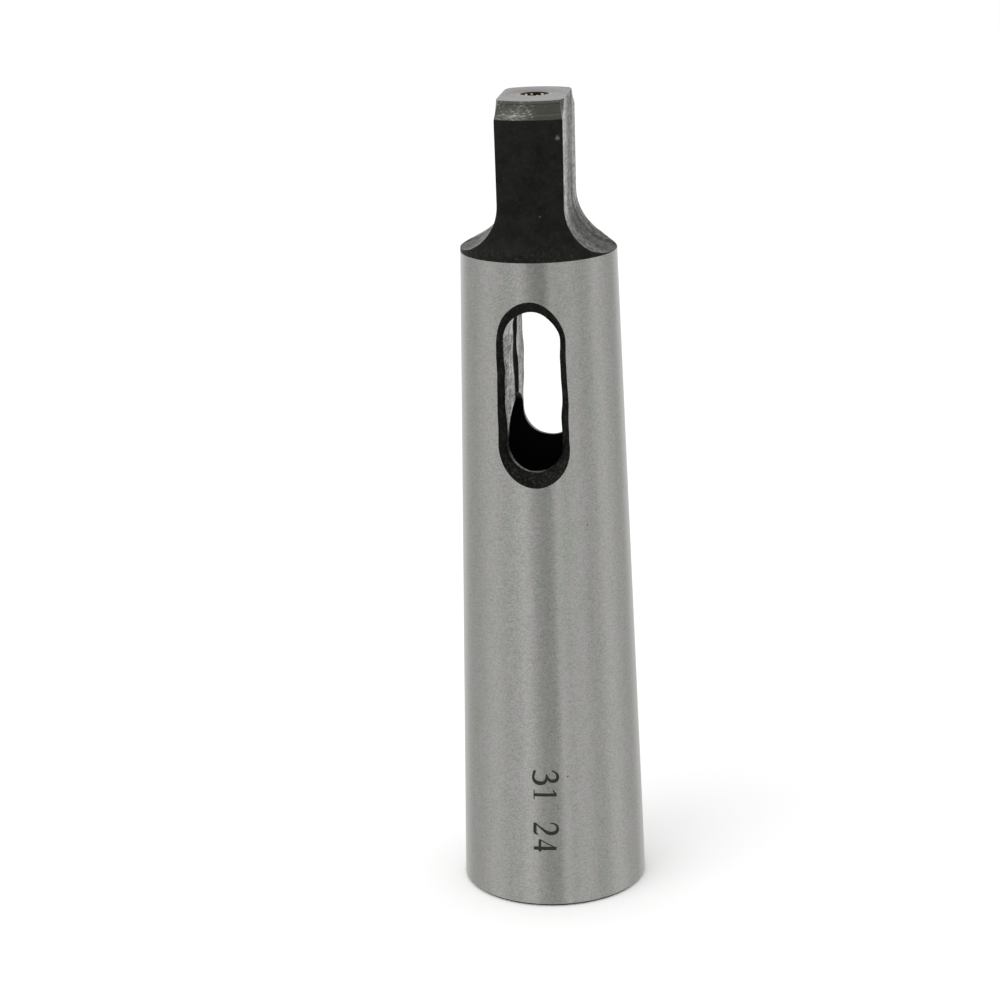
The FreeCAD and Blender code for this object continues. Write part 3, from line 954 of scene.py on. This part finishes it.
def studio_world(studio):
    """White all round for the camera, an even fill, and walls of soft upright bands in what shines."""
    world = bpy.data.worlds.new("studio")
    bpy.context.scene.world = world
    world.use_nodes = True
    world.node_tree.nodes.clear()
    add = partial(add_node, world.node_tree)
    ray = add("ShaderNodeLightPath").outputs
    direction = add("ShaderNodeTexCoord").outputs["Generated"]
    faced = add("ShaderNodeVectorRotate", {"Vector": direction, "Angle": -studio.camera_azimuth},
                rotation_type="Z_AXIS")
    part = add("ShaderNodeSeparateXYZ", (faced,)).outputs
    front = add("MULTIPLY", (part["Y"], -1))
    around = add("ARCTAN2", (part["X"], front))
    share = add("MULTIPLY_ADD", (around, 1 / TURN, 0.5))
    walls = add("ShaderNodeValToRGB", (share,))
    walls.color_ramp.interpolation = "EASE"
    fill_ramp(walls.color_ramp, [(degrees / 360 + 0.5, level) for degrees, level in STUDIO_WALLS])
    seen = add("MAXIMUM", (ray["Is Glossy Ray"], ray["Is Transmission Ray"]))
    fill = shade(WHITE[:3], studio.fill)
    shining = add("ShaderNodeMix", (seen, fill, walls), data_type="RGBA")
    camera = ray["Is Camera Ray"]
    backdrop = add("ShaderNodeMix", (camera, shining, WHITE), data_type="RGBA")
    light = add("ShaderNodeBackground", {"Color": backdrop, "Strength": 1.0})
    add("ShaderNodeOutputWorld", {"Surface": light})


def studio_floor(radius):
    """A white floor that takes the sleeve's shadow, stays out of its reflections and hides nothing from below."""
    corners = 64
    glow = 0.09
    paint = {"Base Color": WHITE, "Roughness": 1.0, "Specular IOR Level": 0.0, "Emission Color": WHITE}
    material, add, surface, _ = new_material("white_floor", paint)
    seen = add("ShaderNodeLightPath").outputs["Is Camera Ray"]
    wire(surface, {"Emission Strength": add("MULTIPLY", (seen, glow))})
    beneath = add("ShaderNodeNewGeometry").outputs["Backfacing"]
    hidden = add("MULTIPLY", (seen, beneath))
    clear = add("ShaderNodeMixShader", (hidden, surface, add("ShaderNodeBsdfTransparent")))
    wire(material.node_tree.get_output_node("ALL"), {"Surface": clear})
    rim = arc_points((0.0, 0.0), radius, 0, 360, corners)[:-1]
    mesh = bpy.data.meshes.new("studio_floor")
    mesh.from_pydata([(*point, 0.0) for point in rim], [], [range(corners)])
    mesh.materials.append(material)
    floor = bpy.data.objects.new("studio_floor", mesh)
    bpy.context.scene.collection.objects.link(floor)
    floor.visible_glossy = False


# The lamp hangs this far to the left, in front and above, and points at the sleeve's foot
LAMP_PLACE = (-0.6, -0.7, 1.1)


def soft_lamp(studio):
    """One large soft lamp, high on the left and in front."""
    lamp = bpy.data.lights.new("soft_lamp", "AREA")
    lamp.size = studio.lamp_size
    lamp.energy = studio.lamp_power
    holder = bpy.data.objects.new("soft_lamp", lamp)
    place = Matrix.Translation(LAMP_PLACE)
    aim = place.translation.to_track_quat("Z", "Y").to_matrix().to_4x4()
    holder.matrix_world = place @ aim
    bpy.context.scene.collection.objects.link(holder)


def studio_camera(studio):
    """The camera, at the photographed view."""
    camera = bpy.data.cameras.new("camera")
    camera.sensor_width = 36.0
    camera.lens = studio.focal_widths * camera.sensor_width
    holder = bpy.data.objects.new("camera", camera)
    holder.matrix_world = (
        Matrix.Rotation(studio.camera_azimuth, 4, "Z")
        @ Matrix.Translation((0, -studio.camera_distance, studio.camera_height))
        @ Matrix.Rotation(-studio.camera_yaw, 4, "Z")
        @ Matrix.Rotation(math.pi / 2 - studio.camera_pitch, 4, "X")
        @ Matrix.Rotation(-studio.camera_roll, 4, "Z")
    )
    bpy.context.scene.collection.objects.link(holder)
    bpy.context.scene.camera = holder


class SLEEVE_OT_studio(bpy.types.Operator):
    """Set up the floor, the light and the camera"""

    bl_idname = "sleeve.studio"
    bl_label = "Set Up Studio"

    def execute(self, context):
        studio = context.scene.sleeve_studio
        context.scene.view_settings.view_transform = "Standard"
        studio_world(studio)
        studio_floor(studio.floor_radius)
        soft_lamp(studio)
        studio_camera(studio)
        return {"FINISHED"}


class SLEEVE_PT_panel(bpy.types.Panel):
    """Sizes, colours and building steps of the sleeve"""

    bl_idname = "SLEEVE_PT_panel"
    bl_label = "Morse Taper Sleeve"
    bl_space_type = "VIEW_3D"
    bl_region_type = "UI"
    bl_category = "Sleeve"

    def draw(self, context):
        for holder, kind in SETTINGS.items():
            box = self.layout.box()
            box.label(text=kind.__doc__)
            for name in kind.__annotations__:
                box.prop(getattr(context.scene, holder), name)
        for operator in OPERATORS:
            self.layout.operator(operator.bl_idname)


SETTINGS = {
    "sleeve_sizes": SleeveSizes,
    "sleeve_machining": SleeveMachining,
    "sleeve_colours": SleeveColours,
    "sleeve_mark": MarkSettings,
    "sleeve_studio": StudioSettings,
}
OPERATORS = (SLEEVE_OT_body, SLEEVE_OT_mark, SLEEVE_OT_studio)


def register():
    for kind in (*SETTINGS.values(), *OPERATORS, SLEEVE_PT_panel):
        bpy.utils.register_class(kind)
    for holder, kind in SETTINGS.items():
        setattr(bpy.types.Scene, holder, PointerProperty(type=kind))


def unregister():
    for holder in SETTINGS:
        delattr(bpy.types.Scene, holder)
    for kind in (SLEEVE_PT_panel, *reversed(OPERATORS), *reversed(SETTINGS.values())):
        bpy.utils.unregister_class(kind)


def main():
    """Builds the pieces and the studio."""
    register()
    bpy.ops.sleeve.body()
    bpy.ops.sleeve.mark()
    bpy.ops.sleeve.studio()


if __name__ == "__main__":
    main()
